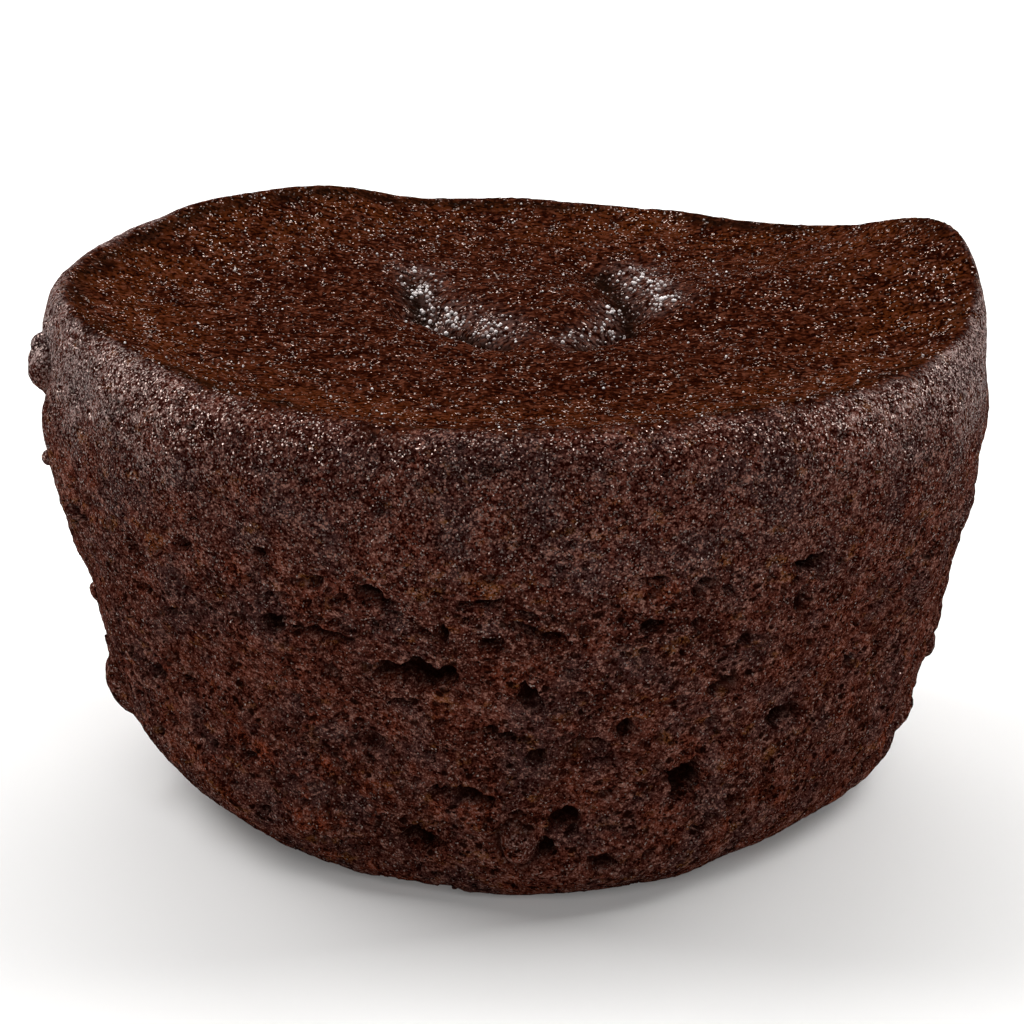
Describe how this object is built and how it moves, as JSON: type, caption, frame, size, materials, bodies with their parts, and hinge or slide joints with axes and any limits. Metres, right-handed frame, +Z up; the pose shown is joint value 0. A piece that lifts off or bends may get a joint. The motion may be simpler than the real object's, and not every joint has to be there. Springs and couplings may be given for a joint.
{
  "type": "chocolate brownie",
  "caption": "Small round chocolate brownie with a tapered wall of open crumb, a rolled shoulder and a sunken satin crust.",
  "frame": {"origin": "on the ground under the middle of the part's box", "axes": "+Z up from the flat foot; -Y towards the side that shows best; +X towards the higher, sharper hump of the rim"},
  "size_m": [0.0458, 0.0458, 0.0262],
  "materials": {
    "crumb": "dark red-brown baked crumb, matt and porous on the wall, satin with fine glints on the crust"
  },
  "bodies": {
    "root": {"brownie": "crumb"}
  },
  "joints": []
}
